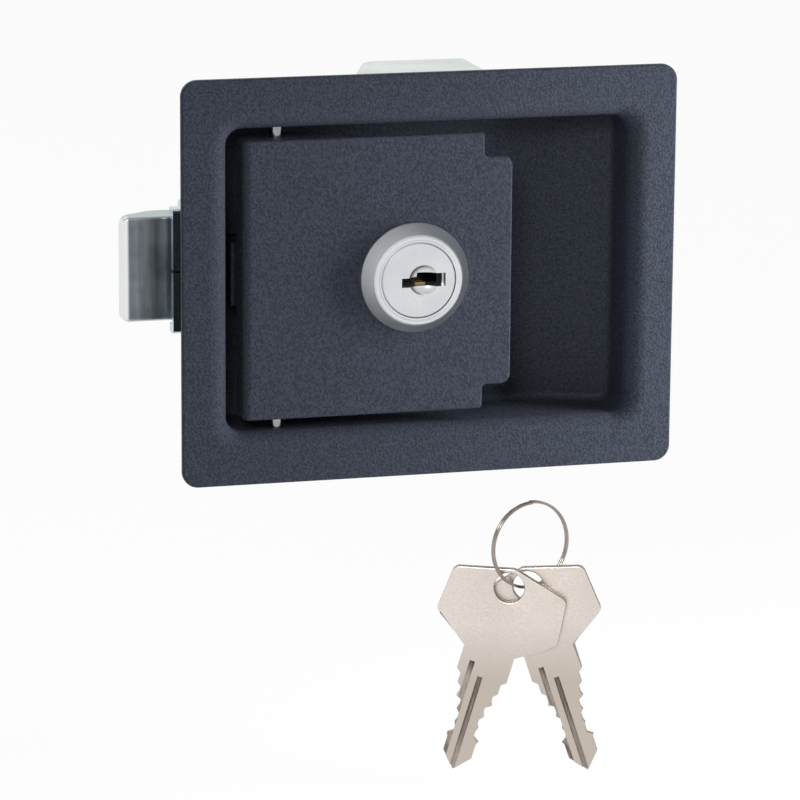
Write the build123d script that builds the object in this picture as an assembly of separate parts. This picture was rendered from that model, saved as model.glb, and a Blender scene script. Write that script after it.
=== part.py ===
from build123d import *
import os

# Flush paddle latch with a keyed lock and a spring bolt.
# Millimetres. The origin is the centre of the flange's back face, which seats on the door.
# +X points to the finger side, +Y into the door, +Z up. The bolt throws towards -X.

# Flange and dish, one sheet pressing
SHEET = 1.5
FLANGE_WIDTH = 120.0
FLANGE_HEIGHT = 96.5
FLANGE_CORNER = 3.8
FLANGE_EDGE_ROUND = 0.5
DISH_WIDTH = 97.6
DISH_HEIGHT = 72.2
DISH_DEPTH = 20.3
DISH_CORNER = 3.8
RIM_ROUND = 4.5
FLOOR_ROUND = 1.8
RAMP_LENGTH = 15.8
RAMP_RISE = 6.4
RAMP_BLEND = 9.0

# Door panel that the flange and the clamp hold between them
PANEL = 2.5

# Paddle, one folded sheet, set in from the dish's walls
PADDLE_SIDE_GAP = 3.9
PADDLE_END_GAP = 2.8
PADDLE_SINK = 0.3
PADDLE_WIDTH = 58.2
PADDLE_LIP = 7.0
TAB_WIDTH = 6.9
TAB_STEP = 5.8
TAB_CORNER = 2.4
TAB_LIP = 2.2
NOTCH_ROUND = 1.0
FOLD_ROUND = 1.9
RIM_EDGE_ROUND = 0.6
EAR_REACH = 9.4
EAR_LENGTH = 17.0
EAR_CORNER = 4.0
TAIL_WIDTH = 15.0
TAIL_ENTRY = 2.8
TAIL_JOGGLE = 0.8
TAIL_JOGGLE_DEPTH = 10.0

# Hinge pin, upright, through both dish walls and both ears
PIN_INSET = 8.9
PIN_DEPTH = 4.9
PIN_RADIUS = 1.55
PIN_HEAD_RADIUS = 2.2
PIN_HEAD = 1.3
PIN_CROWN = 0.8
PIN_SEAT_CLEARANCE = 0.05
PIN_RUNNING_CLEARANCE = 0.08
PIN_END = 1.2
PIN_END_BEVEL = 0.3
CLIP = 0.6
CLIP_RADIUS = 2.2
CLIP_GROOVE_DEPTH = 0.4
CLIP_MOUTH = 2.1

# Latch bolt, a block with a slam face on its back
BOLT_THICK = 8.0
BOLT_HEIGHT = 25.2
BOLT_THROW = 11.7
BOLT_HEEL = 7.9
BOLT_NOSE = 2.7
BOLT_NOSE_ROUND = 2.2
BOLT_NOSE_BACK_ROUND = 0.8
BOLT_TIP_CORNER = 2.2
SLAM_LENGTH = 8.5
SLAM_ROUND = 4.0
BOLT_EDGE_ROUND = 0.7
BOLT_GAP = 0.3
BOLT_TRAVEL = 10.2
POCKET_DEPTH = 5.6
POCKET_SIDE_GAP = 0.6
POCKET_CORNER = 0.8

# Bolt housing, a folded channel with feet riveted to the dish floor
HOUSING_SHEET = 2.0
HOUSING_OVERHANG = 8.0
HOUSING_LENGTH = 38.3
HOUSING_SIDE_GAP = 0.4
HOUSING_BEND = 2.4
HOUSING_MOUTH = 4.3
FLAP_LIP = 4.2
FLAP_BEND = 1.0
FLAP_GAP = 1.1
SEAM = 0.7
FOOT_INSET = 2.8
FOOT_REACH = 9.0
FOOT_CORNER = 2.0

# Rivets of the housing's feet
RIVET_INSET = 5.0
RIVET_PITCH = 11.0
RIVET_OFFSET = 4.6
RIVET_RADIUS = 2.0
RIVET_HEAD_RADIUS = 3.4
RIVET_HEAD = 1.2
RIVET_CROWN = 0.85

# Bolt spring and its peg
BOLT_SPRING_RADIUS = 2.6
BOLT_SPRING_WIRE = 0.8
BOLT_SPRING_TURNS = 8
SPRING_BORE_DEPTH = 5.0
SPRING_BORE_GAP = 0.3
PEG_RADIUS = 1.8
PEG_LENGTH = 3.0
PEG_BEVEL = 0.4
PEG_SHANK_RADIUS = 1.3
PEG_HEAD_RADIUS = 2.4
PEG_HEAD = 0.8
PEG_CROWN = 0.5

# Paddle spring, wound round the hinge pin
PADDLE_SPRING_GAP = 0.12
PADDLE_SPRING_WIRE = 0.7
PADDLE_SPRING_TURNS = 9.25
PADDLE_SPRING_INSET = 6.3
PADDLE_SPRING_HEIGHT = 8.5
PADDLE_SPRING_ARM = 15.0

# Key lock in the paddle
LOCK_INSET = 41.2
LOCK_DROP = 0.55
BEZEL_BASE_RADIUS = 13.1
BEZEL_BASE_STEP = 0.7
BEZEL_FACE_RADIUS = 10.8
BEZEL_HEIGHT = 4.4
BEZEL_RIM_BEVEL = 0.4
BEZEL_LIP = 0.7
BEZEL_LIP_STEP = 0.35
PLUG_FACE_RADIUS = 9.0
PLUG_FACE_DEPTH = 2.4
PLUG_FACE_SINK = 0.3
PLUG_FACE_BEVEL = 0.3
PLUG_RADIUS = 6.25
PLUG_CLEARANCE = 0.08
LOCK_BODY_RADIUS = 9.0
LOCK_BODY_FLATS = 16.0
LOCK_BODY_LENGTH = 17.0
LOCK_HOLE_GAP = 0.1
LOCK_WASHER = 0.8
LOCK_WASHER_RADIUS = 11.4
LOCK_WASHER_TEETH = 12
LOCK_WASHER_NOTCH = 0.7
LOCK_NUT_FLATS = 24.0
LOCK_NUT = 3.0
KEYWAY_SHIFT = 1.2
KEY_DIMPLE_RADIUS = 3.6
KEY_DIMPLE_DEPTH = 1.9
KEYWAY_WIDTH = 10.6
KEYWAY_HEIGHT = 3.2
KEYWAY_WARD_WIDTH = 4.0
KEYWAY_WARD_DROP = 1.0
KEYWAY_DEPTH = 15.0
WAFER = 0.9
WAFER_COUNT = 6
WAFER_START = 1.4
WAFER_PITCH = 2.1
WAFER_HEIGHT = 7.0
WAFER_GAP = 0.05
WAFER_WINDOW_WIDTH = 8.2
WAFER_WINDOW_HEIGHT = 2.4
SQUARE = 7.0
SQUARE_GAP = 0.05
CAM = 1.5
CAM_FLOOR_GAP = 0.4
CAM_HUB_RADIUS = 6.5
CAM_REACH = 16.0
CAM_WIDTH = 9.0
CAM_TIP_ROUND = 3.0
CAM_SCREW_RADIUS = 2.0
CAM_SCREW_LENGTH = 6.0
CAM_SCREW_HEAD_RADIUS = 4.2
CAM_SCREW_HEAD = 1.7
CAM_SCREW_CROWN = 0.85
SCREW_SLOT = 0.9
SCREW_SLOT_LENGTH = 5.0
SCREW_SLOT_DEPTH = 1.0

# Openings in the dish floor for the cam and for the paddle's tail
CAM_WINDOW_GAP = 1.5
CAM_WINDOW_SWING = 3.0
CAM_WINDOW_CORNER = 1.0
TAIL_SLOT_GAP = 0.5
TAIL_SLOT_SWING = 8.0

# Mounting clamp, a strap that bears on the back of the door above and below the dish
CLAMP_SHEET = 2.0
CLAMP_INSET = 1.0
CLAMP_SCREW_GAP = 0.6
CLAMP_LEFT = -7.9
CLAMP_WIDTH = 22.2
CLAMP_FOOT_FLARE = 10.0
CLAMP_SHOULDER_FLARE = 2.9
CLAMP_SHOULDER = 4.3
CLAMP_BEND = 2.5
CLAMP_CORNER = 5.0

# Weld studs, washers and nuts of the clamp
STUD_RADIUS = 2.5
STUD_LENGTH = 12.7
STUD_BEVEL = 0.5
STUD_SPACING = 56.0
STUD_FOOT_RADIUS = 3.6
STUD_FOOT = 0.8
STUD_HOLE_GAP = 0.25
NUT_HOLE_GAP = 0.05
WASHER_RADIUS = 5.5
WASHER = 1.0
NUT_FLATS = 8.0
NUT = 4.0

# Two keys on a ring, lying apart below the latch
KEY_THICK = 1.8
KEY_GAP = 0.3
KEY_HOLE_RADIUS = 3.7
KEY_FRONT_TILT = 16.0
KEY_BACK_TILT = 18.4
KEY_YAW = 22.0
KEY_SPACING = 4.4
KEYS_X = 23.0
KEYS_Z = -77.8
KEY_HEAD_WIDTH = 30.6
KEY_HEAD_TOP_WIDTH = 28.4
KEY_HEAD_RISE = 4.9
KEY_HEAD_SHOULDER = 1.2
KEY_HEAD_DROP = 10.5
KEY_HEAD_ROUND = 2.0
KEY_NECK_WIDTH = 12.6
KEY_NECK_DROP = 16.7
KEY_COLLAR_DROP = 23.1
KEY_BLADE_WIDTH = 10.2
KEY_LENGTH = 48.2
KEY_TIP_LENGTH = 4.1
KEY_CUT_START = 24.9
KEY_CUT_PITCH = 3.3
KEY_CUT_FLAT = 1.5
KEY_CUT_STEP = 0.5
KEY_CUT_CREST = 0.35
KEY_CUTS = (0, 2, 4, 5, 5, 3)
KEY_GROOVE = 1.3
KEY_GROOVE_DEPTH = 0.45
KEY_SIDE_GROOVE = 3.2
KEY_SIDE_GROOVE_DROP = 20.3
KEY_MID_GROOVE = 0.3
KEY_MID_GROOVE_DROP = 23.6
RING_RADIUS = 10.5
RING_WIRE = 0.66
RING_COIL_PITCH = 0.7
RING_YAW = 15.0
RING_SIDE = 2.9
RING_BACK = 0.75
RING_RISE = 10.0

# Places that several pieces share
DISH_LEFT = -DISH_WIDTH / 2
DISH_RIGHT = DISH_WIDTH / 2
FLANGE_FRONT = -SHEET
FLOOR_FRONT = DISH_DEPTH - SHEET
FLOOR_BACK = DISH_DEPTH
WALL_OUTSIDE = DISH_HEIGHT / 2 + SHEET
RAMP_START = DISH_RIGHT - RAMP_LENGTH
PADDLE_FRONT = PADDLE_SINK
PADDLE_BACK = PADDLE_FRONT + SHEET
PADDLE_LEFT = DISH_LEFT + PADDLE_SIDE_GAP
PADDLE_RIGHT = PADDLE_LEFT + PADDLE_WIDTH
PADDLE_HALF = DISH_HEIGHT / 2 - PADDLE_END_GAP
TAB_RIGHT = PADDLE_RIGHT + TAB_WIDTH
TAB_HALF = PADDLE_HALF - TAB_STEP
PIN_X = PADDLE_LEFT + PIN_INSET
PIN_Y = PADDLE_FRONT + PIN_DEPTH
LIP_INSIDE = PADDLE_LEFT + SHEET
TAIL_LEFT = PADDLE_LEFT - TAIL_JOGGLE
TAIL_INSIDE = TAIL_LEFT + SHEET
TAIL_STEP = PADDLE_FRONT + TAIL_JOGGLE_DEPTH
BOLT_FRONT = FLOOR_BACK + BOLT_GAP
BOLT_BACK = BOLT_FRONT + BOLT_THICK
BOLT_MID = BOLT_FRONT + BOLT_THICK / 2
TAIL_END = BOLT_FRONT + TAIL_ENTRY
HOUSING_LEFT = DISH_LEFT - SHEET - HOUSING_OVERHANG
HOUSING_RIGHT = HOUSING_LEFT + HOUSING_LENGTH
HOUSING_BACK_INSIDE = BOLT_BACK + BOLT_GAP
HOUSING_BACK = HOUSING_BACK_INSIDE + HOUSING_SHEET
HOUSING_INSIDE = BOLT_HEIGHT / 2 + HOUSING_SIDE_GAP
HOUSING_OUTSIDE = HOUSING_INSIDE + HOUSING_SHEET
HOUSING_END_INSIDE = HOUSING_RIGHT - HOUSING_SHEET
FLAP_FRONT = FLOOR_BACK - FLAP_LIP
FLAP_RIGHT = DISH_LEFT - SHEET - FLAP_GAP
FOOT_LEFT = DISH_LEFT + FOOT_INSET
FOOT_BACK = FLOOR_BACK + HOUSING_SHEET
RIVET_X = HOUSING_RIGHT - RIVET_INSET
RIVET_Z = HOUSING_OUTSIDE + RIVET_OFFSET
POCKET_RIGHT = TAIL_INSIDE + BOLT_GAP
POCKET_LEFT = TAIL_LEFT - BOLT_TRAVEL - BOLT_GAP
BOLT_TIP = HOUSING_LEFT - BOLT_THROW
BOLT_SLAM_END = BOLT_TIP + SLAM_LENGTH
BOLT_INNER_END = POCKET_RIGHT + BOLT_HEEL
PADDLE_SPRING_RADIUS = PIN_RADIUS + PADDLE_SPRING_GAP + PADDLE_SPRING_WIRE / 2
LOCK_X = PADDLE_LEFT + LOCK_INSET
LOCK_Z = -LOCK_DROP
BEZEL_FRONT = PADDLE_FRONT - BEZEL_HEIGHT
PLUG_FRONT = BEZEL_FRONT + PLUG_FACE_SINK
PLUG_FACE_BACK = PLUG_FRONT + PLUG_FACE_DEPTH
LOCK_BODY_END = PADDLE_FRONT + LOCK_BODY_LENGTH
LOCK_WASHER_BACK = PADDLE_BACK + LOCK_WASHER
KEYWAY_X = LOCK_X + KEYWAY_SHIFT
CAM_FRONT = FLOOR_BACK + CAM_FLOOR_GAP
CAM_BACK = CAM_FRONT + CAM
CLAMP_HALF = FLANGE_HEIGHT / 2 - CLAMP_INSET
CLAMP_BASE_FRONT = CAM_BACK + CAM_SCREW_HEAD + CLAMP_SCREW_GAP
CLAMP_DEPTH = CLAMP_BASE_FRONT + CLAMP_SHEET
CLAMP_RIGHT = CLAMP_LEFT + CLAMP_WIDTH
STUD_X = CLAMP_LEFT + CLAMP_WIDTH / 2
STUD_Z = STUD_SPACING / 2
WASHER_BACK = CLAMP_DEPTH + WASHER


def block(x0, x1, y0, y1, z0, z1):
    return Pos((x0 + x1) / 2, (y0 + y1) / 2, (z0 + z1) / 2) * Box(x1 - x0, y1 - y0, z1 - z0)


def slab(outline, y0, y1):
    """A flat outline drawn in X and Z, given thickness from y0 to y1."""
    return extrude(Plane.XZ.offset(-y1) * outline, y1 - y0)


def plan(outline, z0, z1):
    """A flat outline drawn in X and Y, given height from z0 to z1."""
    return extrude(Plane.XY.offset(z0) * outline, z1 - z0)


def rod_y(radius, x, z, y0, y1):
    return slab(Pos(x, z) * Circle(radius), y0, y1)


def rod_z(radius, x, y, z0, z1):
    return plan(Pos(x, y) * Circle(radius), z0, z1)


def rod_x(radius, y, z, x0, x1):
    return extrude(Plane.YZ.offset(x0) * Pos(y, z) * Circle(radius), x1 - x0)


def save(name, shape):
    export_step(shape, f"parts/{name}.step")
    print(name, round(shape.volume, 1))


def dish_form(grow):
    """The dish's hollow, made larger on every side by grow."""
    side = DISH_WIDTH / 2
    front = FLANGE_FRONT - RIM_ROUND
    profile = make_face(Polyline(
        (-side, front), (side, front), (side, FLOOR_FRONT - RAMP_RISE),
        (RAMP_START, FLOOR_FRONT), (-side, FLOOR_FRONT), close=True))
    crease = profile.vertices().sort_by_distance((RAMP_START, FLOOR_FRONT))[0]
    profile = fillet(crease, RAMP_BLEND)
    if grow:
        profile = offset(profile, grow, kind=Kind.INTERSECTION)
    form = extrude(profile, DISH_HEIGHT / 2 + grow, both=True)
    mouth = RectangleRounded(DISH_WIDTH + 2 * grow, DISH_HEIGHT + 2 * grow, DISH_CORNER + grow)
    form = form & slab(mouth, FLANGE_FRONT, FLOOR_FRONT + grow)
    rims = [edge for edge in form.edges() if is_floor_rim(edge)]
    return fillet(rims, FLOOR_ROUND + grow)


def is_floor_rim(edge):
    """Whether an edge runs round the floor, where the walls meet it."""
    middle = edge.center()
    across = abs(middle.Z) < 1 and abs(middle.X) < DISH_WIDTH / 2 - 1
    return edge.bounding_box().min.Y > RIM_ROUND and not across


def dish_pan():
    flange = slab(RectangleRounded(FLANGE_WIDTH, FLANGE_HEIGHT, FLANGE_CORNER), FLANGE_FRONT, 0)
    outside = dish_form(SHEET) & block(-FLANGE_WIDTH, FLANGE_WIDTH, -SHEET, FLOOR_BACK + 1,
                                       -FLANGE_HEIGHT, FLANGE_HEIGHT)
    pan = flange + outside - dish_form(0)
    reach = DISH_WIDTH / 2 + SHEET + 1
    height = DISH_HEIGHT / 2 + SHEET + 1
    inner = [edge for edge in pan.edges()
             if abs(edge.center().X) < reach and abs(edge.center().Z) < height]
    front_rim = [edge for edge in inner if edge.bounding_box().max.Y < FLANGE_FRONT + 0.01]
    pan = fillet(front_rim, RIM_ROUND)
    back_rim = [edge for edge in pan.edges()
                if abs(edge.center().X) < reach and abs(edge.center().Z) < height
                and abs(edge.bounding_box().min.Y) < 0.01 and abs(edge.bounding_box().max.Y) < 0.01]
    pan = fillet(back_rim, RIM_ROUND - SHEET)
    outer = [edge for edge in pan.edges()
             if edge.bounding_box().max.Y < FLANGE_FRONT + 0.01]
    pan = fillet(outer, FLANGE_EDGE_ROUND)
    for wall in (-WALL_OUTSIDE, WALL_OUTSIDE):
        pan -= rod_z(PIN_RADIUS + PIN_SEAT_CLEARANCE, PIN_X, PIN_Y, wall - 2 * SHEET, wall + 2 * SHEET)
    pan -= tail_slot() + cam_window()
    for x, z in rivet_places():
        pan -= rod_y(RIVET_RADIUS, x, z, FLOOR_FRONT - 1, FLOOR_BACK + 1)
    return pan


def tail_slot():
    half = TAIL_WIDTH / 2 + TAIL_SLOT_GAP
    return block(TAIL_LEFT - TAIL_SLOT_GAP, TAIL_INSIDE + TAIL_SLOT_SWING + TAIL_SLOT_GAP,
                 FLOOR_FRONT - 1, FLOOR_BACK + 1, -half, half)


def cam_window():
    """Lets the cam out when it lies level, and stops it when it is turned up or down."""
    left = LOCK_X - CAM_HUB_RADIUS - CAM_WINDOW_GAP
    right = LOCK_X + CAM_REACH + CAM_WINDOW_SWING
    outline = Pos((left + right) / 2, LOCK_Z) * RectangleRounded(
        right - left, 2 * (CAM_HUB_RADIUS + CAM_WINDOW_GAP), CAM_WINDOW_CORNER)
    return slab(outline, FLOOR_FRONT - 1, FLOOR_BACK + 1)


def rivet_places():
    return [(x, z) for x in (RIVET_X - RIVET_PITCH, RIVET_X) for z in (-RIVET_Z, RIVET_Z)]


def bolt_housing():
    back = block(HOUSING_LEFT + HOUSING_MOUTH, HOUSING_RIGHT, HOUSING_BACK_INSIDE, HOUSING_BACK,
                 -HOUSING_OUTSIDE, HOUSING_OUTSIDE)
    end = block(HOUSING_END_INSIDE, HOUSING_RIGHT, BOLT_FRONT, HOUSING_BACK,
                -HOUSING_INSIDE + BOLT_GAP, HOUSING_INSIDE - BOLT_GAP)
    housing = back + end
    for side in (-1, 1):
        housing += housing_side(side)
    corners = [edge for edge in housing.edges().filter_by(Axis.X)
               if abs(abs(edge.center().Z) - HOUSING_OUTSIDE) < 0.01]
    housing = fillet([edge for edge in corners if edge.center().Y > HOUSING_BACK - 0.01],
                     HOUSING_BEND)
    corners = [edge for edge in housing.edges().filter_by(Axis.X)
               if abs(abs(edge.center().Z) - HOUSING_OUTSIDE) < 0.01]
    housing = fillet([edge for edge in corners if edge.center().Y < FLAP_FRONT + 0.01], FLAP_BEND)
    housing -= rod_x(PEG_SHANK_RADIUS, BOLT_MID, 0, HOUSING_END_INSIDE - 1, HOUSING_RIGHT + 1)
    for x, z in rivet_places():
        housing -= rod_y(RIVET_RADIUS, x, z, FLOOR_BACK - 1, FOOT_BACK + 1)
    return housing


def housing_side(side):
    """One wall of the channel with its front flap and its foot."""
    def wall(x0, x1, y0, y1, inner, outer):
        low, high = sorted((side * inner, side * outer))
        return block(x0, x1, y0, y1, low, high)
    upright = wall(HOUSING_LEFT + HOUSING_MOUTH, HOUSING_RIGHT, FLOOR_BACK, HOUSING_BACK,
                   HOUSING_INSIDE, HOUSING_OUTSIDE)
    flap_wall = wall(HOUSING_LEFT, FLAP_RIGHT, FLAP_FRONT, FLOOR_BACK,
                     HOUSING_INSIDE, HOUSING_OUTSIDE)
    flap = wall(HOUSING_LEFT, FLAP_RIGHT, FLAP_FRONT, FLAP_FRONT + HOUSING_SHEET,
                SEAM / 2, HOUSING_INSIDE)
    foot = wall(FOOT_LEFT, HOUSING_RIGHT, FLOOR_BACK, FOOT_BACK,
                HOUSING_OUTSIDE, HOUSING_OUTSIDE + FOOT_REACH)
    tips = [edge for edge in foot.edges().filter_by(Axis.Y)
            if abs(edge.center().Z) > HOUSING_OUTSIDE + 1]
    foot = fillet(tips, FOOT_CORNER)
    return upright + flap_wall + flap + foot


def housing_rivets():
    rivets = []
    for x, z in rivet_places():
        rivet = rod_y(RIVET_RADIUS, x, z, FLOOR_FRONT, FOOT_BACK)
        for face, seat in ((-1, FLOOR_FRONT), (1, FOOT_BACK)):
            low, high = sorted((seat, seat + face * RIVET_HEAD))
            head = rod_y(RIVET_HEAD_RADIUS, x, z, low, high)
            crown = head.edges().sort_by(Axis.Y)[0 if face < 0 else -1]
            rivet += fillet(crown, RIVET_CROWN)
        rivets.append(rivet)
    return rivets


def hinge_pin():
    top = WALL_OUTSIDE
    bottom = -WALL_OUTSIDE - CLIP - PIN_END
    pin = rod_z(PIN_RADIUS, PIN_X, PIN_Y, bottom, top)
    head = rod_z(PIN_HEAD_RADIUS, PIN_X, PIN_Y, top, top + PIN_HEAD)
    pin += fillet(head.edges().sort_by(Axis.Z)[-1], PIN_CROWN)
    groove = Pos(PIN_X, PIN_Y) * (Circle(PIN_RADIUS + 1) - Circle(PIN_RADIUS - CLIP_GROOVE_DEPTH))
    pin -= plan(groove, -WALL_OUTSIDE - CLIP, -WALL_OUTSIDE)
    return chamfer(pin.edges().sort_by(Axis.Z)[0], PIN_END_BEVEL)


def pin_clip():
    """A push-on clip in the pin's groove, open towards the door."""
    low = -WALL_OUTSIDE - CLIP
    ring = Pos(PIN_X, PIN_Y) * (Circle(CLIP_RADIUS) - Circle(PIN_RADIUS - CLIP_GROOVE_DEPTH))
    mouth = Pos(PIN_X, PIN_Y + CLIP_RADIUS) * Rectangle(CLIP_MOUTH, 2 * CLIP_RADIUS)
    return plan(ring - mouth, low, -WALL_OUTSIDE)


def paddle_plate():
    half = PADDLE_HALF
    tab = TAB_HALF
    face = make_face(Polyline(
        (PADDLE_LEFT, -half), (PADDLE_RIGHT, -half), (PADDLE_RIGHT, -tab), (TAB_RIGHT, -tab),
        (TAB_RIGHT, tab), (PADDLE_RIGHT, tab), (PADDLE_RIGHT, half), (PADDLE_LEFT, half), close=True))
    notches = face.vertices().filter_by(lambda v: abs(v.X - PADDLE_RIGHT) < 0.01)
    face = fillet(notches, NOTCH_ROUND)
    tips = face.vertices().filter_by(lambda v: abs(v.X - TAB_RIGHT) < 0.01)
    face = fillet(tips, TAB_CORNER)
    plate = slab(face, PADDLE_FRONT, PADDLE_BACK)
    plate += block(PADDLE_LEFT, LIP_INSIDE, PADDLE_FRONT, PADDLE_FRONT + PADDLE_LIP, -half, half)
    plate += block(TAB_RIGHT - SHEET, TAB_RIGHT, PADDLE_FRONT, PADDLE_BACK + TAB_LIP,
                   -tab + TAB_CORNER, tab - TAB_CORNER)
    tail = TAIL_WIDTH / 2
    plate += block(PADDLE_LEFT, LIP_INSIDE, PADDLE_FRONT, TAIL_STEP + SHEET, -tail, tail)
    plate += block(TAIL_LEFT, TAIL_INSIDE, TAIL_STEP, TAIL_END, -tail, tail)
    for side in (-1, 1):
        plate += paddle_ear(side)
    folds = [edge for edge in plate.edges()
             if edge.bounding_box().max.Y < PADDLE_FRONT + 0.01
             and (edge.center().X < PADDLE_LEFT + 0.01)]
    plate = fillet(folds, FOLD_ROUND)
    rims = [edge for edge in plate.edges() if edge.bounding_box().max.Y < PADDLE_FRONT + 0.01]
    plate = fillet(rims, RIM_EDGE_ROUND)
    plate -= slab(lock_outline(LOCK_HOLE_GAP), PADDLE_FRONT - 1, PADDLE_BACK + 1)
    return plate


def paddle_ear(side):
    """The folded ear that hangs the paddle on its pin, above or below."""
    outline = make_face(Polyline(
        (PADDLE_LEFT, PADDLE_FRONT), (PADDLE_LEFT + EAR_LENGTH + EAR_REACH, PADDLE_FRONT),
        (PADDLE_LEFT + EAR_LENGTH, PADDLE_FRONT + EAR_REACH),
        (PADDLE_LEFT, PADDLE_FRONT + EAR_REACH), close=True))
    backs = outline.vertices().filter_by(lambda v: v.Y > PADDLE_BACK)
    outline = fillet(backs, EAR_CORNER)
    outline -= Pos(PIN_X, PIN_Y) * Circle(PIN_RADIUS + PIN_RUNNING_CLEARANCE)
    low, high = sorted((side * PADDLE_HALF, side * (PADDLE_HALF - SHEET)))
    return plan(outline, low, high)


def coil(radius, wire, length, turns, lefthand=False):
    """A round wire wound up the Z axis from the origin."""
    path = Helix(pitch=length / turns, height=length, radius=radius, lefthand=lefthand)
    section = Plane(origin=path @ 0, z_dir=path % 0) * Circle(wire / 2)
    return sweep(section, path=path, is_frenet=True)


def paddle_spring():
    """One arm presses on the paddle's back, the other on the dish floor."""
    bottom = PADDLE_SPRING_INSET - PADDLE_HALF
    top = bottom + PADDLE_SPRING_HEIGHT
    wire = PADDLE_SPRING_WIRE / 2
    turns = Pos(PIN_X, PIN_Y, bottom) * Rot(0, 0, 180) * Helix(
        pitch=PADDLE_SPRING_HEIGHT / PADDLE_SPRING_TURNS, height=PADDLE_SPRING_HEIGHT,
        radius=PADDLE_SPRING_RADIUS)
    foot = (PIN_X - PADDLE_SPRING_RADIUS, FLOOR_FRONT, bottom)
    tip = (PIN_X + PADDLE_SPRING_ARM, PADDLE_BACK + PADDLE_SPRING_GAP + wire, top)
    path = Wire([Edge.make_line(foot, turns @ 0), turns.edge(), Edge.make_line(turns @ 1, tip)])
    section = Plane(origin=path @ 0, z_dir=path % 0) * Circle(wire)
    return sweep(section, path=path, is_frenet=True, transition=Transition.TRANSFORMED)


def latch_bolt():
    half = BOLT_HEIGHT / 2
    outline = make_face(Polyline(
        (BOLT_INNER_END, BOLT_FRONT), (BOLT_TIP, BOLT_FRONT), (BOLT_TIP, BOLT_FRONT + BOLT_NOSE),
        (BOLT_SLAM_END, BOLT_BACK), (BOLT_INNER_END, BOLT_BACK), close=True))
    front_nose = outline.vertices().sort_by_distance((BOLT_TIP, BOLT_FRONT))[0]
    outline = fillet(front_nose, BOLT_NOSE_ROUND)
    back_nose = outline.vertices().sort_by_distance((BOLT_TIP, BOLT_FRONT + BOLT_NOSE))[0]
    outline = fillet(back_nose, BOLT_NOSE_BACK_ROUND)
    heel = outline.vertices().filter_by(lambda v: abs(v.X - BOLT_SLAM_END) < 0.01)
    outline = fillet(heel, SLAM_ROUND)
    elevation = make_face(Polyline(
        (BOLT_TIP, -half), (BOLT_INNER_END, -half), (BOLT_INNER_END, half), (BOLT_TIP, half),
        close=True))
    tips = elevation.vertices().filter_by(lambda v: v.X < BOLT_TIP + 0.01)
    elevation = fillet(tips, BOLT_TIP_CORNER)
    bolt = plan(outline, -half, half) & slab(elevation, BOLT_FRONT, BOLT_BACK)
    front = [edge for edge in bolt.edges()
             if edge.bounding_box().max.Y < BOLT_FRONT + 0.01 and abs(edge.center().Z) > half - 0.01]
    bolt = fillet(front, BOLT_EDGE_ROUND)
    pocket_half = TAIL_WIDTH / 2 + POCKET_SIDE_GAP
    pocket = block(POCKET_LEFT, POCKET_RIGHT, BOLT_FRONT - 1, BOLT_FRONT + POCKET_DEPTH,
                   -pocket_half, pocket_half)
    pocket = fillet(pocket.edges().filter_by(Axis.Y), POCKET_CORNER)
    bore = rod_x(BOLT_SPRING_RADIUS + BOLT_SPRING_WIRE / 2 + SPRING_BORE_GAP, BOLT_MID, 0,
                 BOLT_INNER_END - SPRING_BORE_DEPTH, BOLT_INNER_END + 1)
    return bolt - pocket - bore


def bolt_spring():
    start = BOLT_INNER_END - SPRING_BORE_DEPTH
    margin = BOLT_SPRING_WIRE / 2
    length = HOUSING_END_INSIDE - start - 2 * margin
    turns = coil(BOLT_SPRING_RADIUS, BOLT_SPRING_WIRE, length, BOLT_SPRING_TURNS)
    return Pos(start + margin, BOLT_MID, 0) * Rot(0, 90, 0) * turns


def spring_peg():
    peg = rod_x(PEG_RADIUS, BOLT_MID, 0, HOUSING_END_INSIDE - PEG_LENGTH, HOUSING_END_INSIDE)
    peg = chamfer(peg.edges().sort_by(Axis.X)[0], PEG_BEVEL)
    peg += rod_x(PEG_SHANK_RADIUS, BOLT_MID, 0, HOUSING_END_INSIDE, HOUSING_RIGHT)
    head = rod_x(PEG_HEAD_RADIUS, BOLT_MID, 0, HOUSING_RIGHT, HOUSING_RIGHT + PEG_HEAD)
    return peg + fillet(head.edges().sort_by(Axis.X)[-1], PEG_CROWN)


def lock_outline(grow):
    """The double-D section of the lock's body."""
    return Pos(LOCK_X, LOCK_Z) * (
        Circle(LOCK_BODY_RADIUS + grow)
        & Rectangle(3 * LOCK_BODY_RADIUS, LOCK_BODY_FLATS + 2 * grow))


def turned(points):
    """A profile of radius and Y places, turned about the lock's axis."""
    outline = make_face(Polyline([(LOCK_X + r, y) for r, y in points], close=True))
    return revolve(outline, Axis((LOCK_X, 0, LOCK_Z), (0, 1, 0)))


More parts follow.
